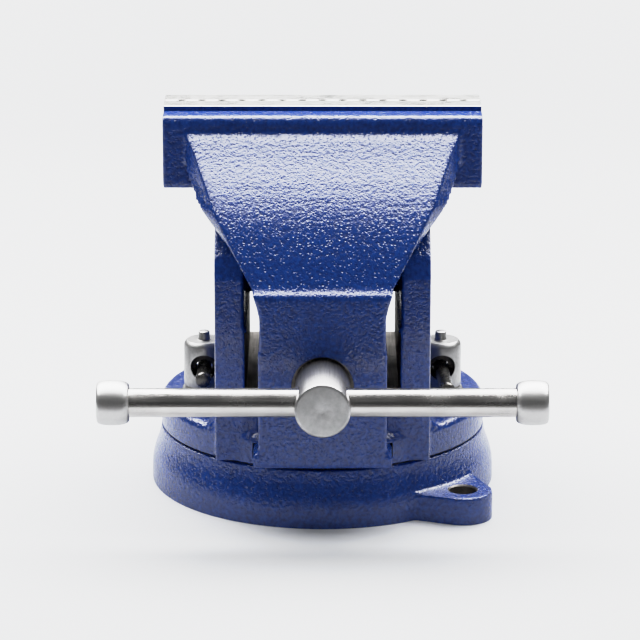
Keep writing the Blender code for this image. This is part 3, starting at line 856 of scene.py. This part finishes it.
def build_jaw_plates():
    for name, sign, body in PLATES:
        near, far = sorted((sign * PLATE_FACE, sign * PLATE_BACK))
        plate = block(name + "_plate", (-62.9, near, 128.4), (62.9, far, 156.1))
        soften(plate, 0.35, 2)
        for lean in (-1, 1):
            cutter = groove_set(lean, sign * PLATE_FACE, sign)
            cut(plate, cutter)
        for _, across in SIDES:
            seat = [(0, -2), (5.6, -2), (5.3, 0.45), (5.3, 5.6), (2.9, 5.6), (2.9, 12), (0, 12)]
            place = (across * PLATE_SCREW_X, sign * PLATE_FACE, PLATE_SCREW_Z)
            drill = turned("seat_drill", seat, place, (0, sign, 0), 40, closed=False)
            cut(plate, drill)
        shade(plate, 20)
        dress(plate, body, "ground_steel", [name + "_jaw_plate"], JAW_STEEL, ENAMEL)
        for face in plate.data.polygons:
            if face.normal.y * sign > 0.7 and face.center.y * sign > (PLATE_BACK - 0.2) * MM:
                face.material_index = 1


def build_plate_screws():
    profile = [
        (0, 0), (4.3, 0), (4.75, 0.15), (4.95, 0.55), (4.95, 4.7), (2.5, 4.7),
        (2.5, 21.6), (2.0, 22.5), (0, 22.5),
    ]  # fmt: skip
    for name, sign, body in PLATES:
        for side, across in SIDES:
            spot = (across * PLATE_SCREW_X, sign * 0.65, PLATE_SCREW_Z)
            screw = turned("socket_screw_" + name + "_" + side, profile, spot, (0, sign, 0), 40, closed=False)
            end = (across * PLATE_SCREW_X, sign * 3.05, PLATE_SCREW_Z)
            socket = rod("socket", (across * PLATE_SCREW_X, -sign * 0.6, PLATE_SCREW_Z), end, 2.3, 6)
            cut(screw, socket)
            shade(screw)
            dress(screw, body, "black_steel", [name + "_plate_screw_" + side], BLACK_OXIDE)


# ---------------------------------------------------------------- main screw and handle


def build_main_screw():
    profile = [
        (0, 104.35), (0.9, 104.5), (9.3, 104.5), (9.9, 104.42), (10.35, 104.1), (10.65, 103.5), (10.65, 71.2),
        (9.9, 70.5), (8.5, 70.5), (8.5, 52.0), (7.9, 51.2), (0, 51.2),
    ]  # fmt: skip
    head = turned("screw_head", profile, (0, 0, SCREW_Z), (0, -1, 0), 96, closed=False)
    bore = 5.95
    mouth = [(0, -14), (bore + 2.4, -14), (bore, -9.3), (bore, 9.3), (bore + 2.4, 14), (0, 14)]
    cutters = [
        turned("handle_drill", mouth, (0, -HANDLE_Y, SCREW_Z), (1, 0, 0), 64, closed=False),
        rod("pin_drill", (-20, -PIN_Y, SCREW_Z), (20, -PIN_Y, SCREW_Z), 2.2, 32),
    ]
    cutter = gather("drills", cutters)
    cut(head, cutter)
    shade(head)
    dress(head, "screw", "turned_steel", ["main_screw"], SAWN_STEEL, TURNED_STEEL)
    end = -104.0 * MM
    for face in head.data.polygons:
        flat = face.normal.y < -0.9 and face.center.y < end
        face.material_index = 0 if flat else 1

    pitch, root, crest = 5.0, 6.6, 8.0
    tooth = [(root, 0), (root, 0.9), (crest, 2.0), (crest, 3.1), (root, 4.2), (root, 5.0)]
    thread = draw_line("screw_thread", [(r, 0, h) for r, h in tooth])
    bpy.ops.object.mode_set(mode="OBJECT")
    apply_modifier(
        thread, "SCREW", axis="Z", screw_offset=pitch * MM, iterations=33, steps=32, render_steps=32,
        angle=math.tau, use_merge_vertices=False,
    )  # fmt: skip
    thread.matrix_world = (
        Matrix.Translation((0, -0.060, SCREW_Z * MM)) @ Matrix.Rotation(math.radians(-90), 4, "X")
    )
    settle(thread)
    bpy.ops.object.mode_set(mode="EDIT")
    bpy.ops.mesh.select_all(action="SELECT")
    bpy.ops.mesh.remove_doubles(threshold=0.000005)
    for y, outer in ((-0.0515, False), (0.0945, True)):
        bpy.ops.mesh.select_all(action="SELECT")
        bpy.ops.mesh.bisect(
            plane_co=(0, y, 0), plane_no=(0, 1, 0), use_fill=True, clear_inner=not outer, clear_outer=outer
        )
    bpy.ops.mesh.select_all(action="SELECT")
    bpy.ops.mesh.normals_make_consistent(inside=False)
    bpy.ops.object.mode_set(mode="OBJECT")
    shade(thread, 35)
    dress(thread, "screw", "turned_steel", ["main_screw"], TURNED_STEEL)


def build_screw_fittings():
    place, along = (0, 0, SCREW_Z), (0, -1, 0)
    washer = turned("thrust_ring", [(8.8, 61.7), (10.6, 61.7), (10.6, 60.2), (8.8, 60.2)], place, along)
    soften(washer, 0.2)
    shade(washer)
    dress(washer, "screw", "zinc_steel", ["thrust_washer"], ZINC)
    collar = turned("draw_collar", [(8.8, 59.9), (10.6, 59.9), (10.6, 52.9), (8.8, 52.9)], place, along)
    soften(collar, 0.4)
    drill = rod("pin_drill", (-20, -PIN_Y, SCREW_Z), (20, -PIN_Y, SCREW_Z), 2.2, 32)
    cut(collar, drill)
    shade(collar)
    dress(collar, "screw", "plain_iron", ["screw_collar"], CUT_IRON)
    pin = [(0, -10.4), (1.5, -10.4), (1.85, -10.0), (1.85, 10.0), (1.5, 10.4), (0, 10.4)]
    pin = turned("spring_pin", pin, (0, -PIN_Y, SCREW_Z), (1, 0, 0), 32, closed=False)
    shade(pin)
    dress(pin, "screw", "turned_steel", ["collar_pin"], TURNED_STEEL)


def build_handle():
    bar = turned("tommy_bar", [(0, -84), (5.2, -84), (5.55, -83.6), (5.55, 83.6), (5.2, 84), (0, 84)],
                 (0, -HANDLE_Y, SCREW_Z), (1, 0, 0), 64, closed=False)  # fmt: skip
    dents = []
    for _, sign in SIDES:
        for tilt, reach, depth in ((44, 30.0, 0.42), (224, 30.0, 0.3)):
            out = Vector((0, -math.cos(math.radians(tilt)), math.sin(math.radians(tilt))))
            across = Vector((0, out.z, -out.y))
            middle = Vector((sign * 69.9, -HANDLE_Y, SCREW_Z)) + out * (5.55 - depth + reach)
            dents.append(rod("stake", middle - across * 9, middle + across * 9, reach, 128))
    cutter = gather("stakes", dents)
    cut(bar, cutter)
    shade(bar, 25)
    dress(bar, "handle", "turned_steel", ["handle_bar"], DRAWN_STEEL)
    profile = [
        (0, 85.75), (1.0, 85.9), (6.9, 85.9), (7.5, 85.7), (7.95, 85.2), (8.35, 84.0), (8.58, 82.4),
        (8.65, 80.6), (8.65, 79.0), (8.55, 77.4), (8.25, 75.6), (7.75, 74.3), (7.3, 73.75),
        (6.9, 73.6), (6.2, 73.6), (5.85, 74.0), (5.85, 84.4), (0, 84.4),
    ]  # fmt: skip
    for side, sign in SIDES:
        knob = turned("handle_knob_" + side, profile, (0, -HANDLE_Y, SCREW_Z), (sign, 0, 0), 96, closed=False)
        shade(knob, 35)
        dress(knob, "handle", "turned_steel", ["handle_end_" + side], KNOB_STEEL)


def build_screw_nut():
    nut = block("drive_nut", (-13, -48, 26.5), (13, -28, 70.4))
    soften(nut, 1.2, 3)
    bore = [
        (0, -22), (9.2, -22), (9.2, -27.2), (8.3, -28.4), (8.3, -47.6), (9.2, -48.8), (9.2, -54), (0, -54),
    ]  # fmt: skip
    bore = turned("nut_bore", bore, (0, 0, SCREW_Z), (0, 1, 0), 64, closed=False)
    drill = rod("bolt_bore", (0, -NUT_BOLT_Y, 20), (0, -NUT_BOLT_Y, 43), 4.35, 32)
    cutter = merge_tools("drills", [bore, drill])
    cut(nut, cutter)
    shade(nut, 35)
    dress(nut, "body", "plain_iron", ["screw_nut"], ROUGH_IRON)
    profile = [
        (0, 41), (3.4, 41), (4.0, 40.4), (4.0, 13.3), (7.3, 13.3), (7.6, 13.0), (7.6, 8.8), (7.0, 8.2),
        (0, 8.2),
    ]  # fmt: skip
    bolt = turned("nut_screw", profile, (0, -NUT_BOLT_Y, 0), (0, 0, 1), 48, closed=False)
    socket = rod("socket", (0, -NUT_BOLT_Y, 6), (0, -NUT_BOLT_Y, 11.6), 3.8, 6)
    cut(bolt, socket)
    shade(bolt)
    dress(bolt, "body", "black_steel", ["nut_bolt"], BLACK_OXIDE)


# ---------------------------------------------------------------- swivel locks


def lock_direction(lean):
    return Vector((math.sin(math.radians(lean)), -math.cos(math.radians(lean)), 0))


def build_locks():
    for side, sign, lean, front in (("left", -1, 0.0, 19.5), ("right", 1, 3.0, 33.0)):
        x = sign * LOCK_X
        shank = [(0, 41.2), (4.3, 41.2), (5.0, 40.4), (5.0, 5.0), (0, 5.0)]
        bolt = turned("clamp_bolt_" + side, shank, (x, 0, 0), (0, 0, 1), 40, closed=False)
        head = rod("bolt_head", (x, 0, 1.6), (x, 0, 5.9), 8.0, 6)
        soften(head, 0.4)
        apply_modifier(bolt, "BOOLEAN", operation="UNION", solver="EXACT", object=head)
        drop(head)
        shade(bolt)
        dress(bolt, "body", "zinc_steel", ["lock_bolt_" + side], ZINC)

        low, high = sorted((sign * 40.0, sign * 61.0))
        shoe = block("shoe_" + side, (low, -10, 6.2), (high, 10, 11.2))
        soften(shoe, 0.8, 3)
        drill = rod("shoe_drill", (x, 0, 0), (x, 0, 20), 5.35, 32)
        cut(shoe, drill)
        shade(shoe)
        dress(shoe, "body", "plain_iron", ["clamp_shoe_" + side], ROUGH_IRON)

        ring = [(5.4, 35.8), (5.4, 37.3), (8.5, 37.3), (8.9, 36.9), (8.9, 36.2), (8.5, 35.8)]
        washer = turned("washer_" + side, ring, (x, 0, 0), (0, 0, 1), 64)
        shade(washer)
        dress(washer, "body", "zinc_steel", ["lock_washer_" + side], ZINC)

        profile = [
            (0, 60.4), (1.8, 60.4), (2.2, 60.2), (2.3, 59.9), (2.3, 57.3), (2.5, 56.95), (2.9, 56.9),
            (7.05, 56.9), (7.3, 56.75), (8.1, 55.55), (8.3, 55.1), (8.3, 38.4), (7.7, 37.6), (5.35, 37.6),
            (5.35, 45.0), (0, 45.0),
        ]  # fmt: skip
        nut = turned("lock_nut_body_" + side, profile, (x, 0, 0), (0, 0, 1), 96, closed=False)
        ahead = lock_direction(lean)
        middle = Vector((x, 0, 47.0))
        low = Vector((x, 0, LOCK_BAR_Z))
        drill = merge_tools("cross_drill", [
            rod("mouth_drill", middle + ahead * 1.5, middle + ahead * 16, 5.4, 64),
            rod("bar_drill", low - ahead * 16, low + ahead * 16, 3.5, 48),
        ])  # fmt: skip
        # The faces cut by the cross drill take the dark iron finish: bare metal, darkened as painted shade
        # for the dark inside of the hole.
        nut.data.materials.append(ZINC)
        nut.data.materials.append(ROUGH_IRON)
        machine(nut, [drill])
        shade(nut)
        dress_machined(nut, "lock_nut_" + side, ["lock_nut_" + side])

        half = 20.5
        profile = [
            (0, half), (2.3, half), (2.8, half - 0.2), (3.15, half - 0.7), (3.2, half - 1.2),
            (3.2, half - 2.2), (3.1, half - 2.9), (2.8, half - 4.2),
            (2.8, 4.2 - half), (3.1, 2.9 - half), (3.2, 2.2 - half),
            (3.2, 1.2 - half), (3.15, 0.7 - half), (2.8, 0.2 - half), (2.3, -half), (0, -half),
        ]  # fmt: skip
        middle = Vector((x, 0, LOCK_BAR_Z)) + ahead * (front - half)
        bar = turned("pull_bar_" + side, profile, middle, ahead, 48, closed=False)
        shade(bar)
        dress(bar, "lock_bar_" + side, "turned_steel", ["lock_bar_" + side], OILED_STEEL)


BUILDERS = (
    build_base, build_body, build_moving_jaw, build_jaw_plates, build_plate_screws, build_main_screw,
    build_screw_fittings, build_handle, build_screw_nut, build_locks,
)  # fmt: skip
for build in BUILDERS:
    build()

build_stage()
build_reflection_shade_card()
build_lights()
build_camera()
soften_highlights()
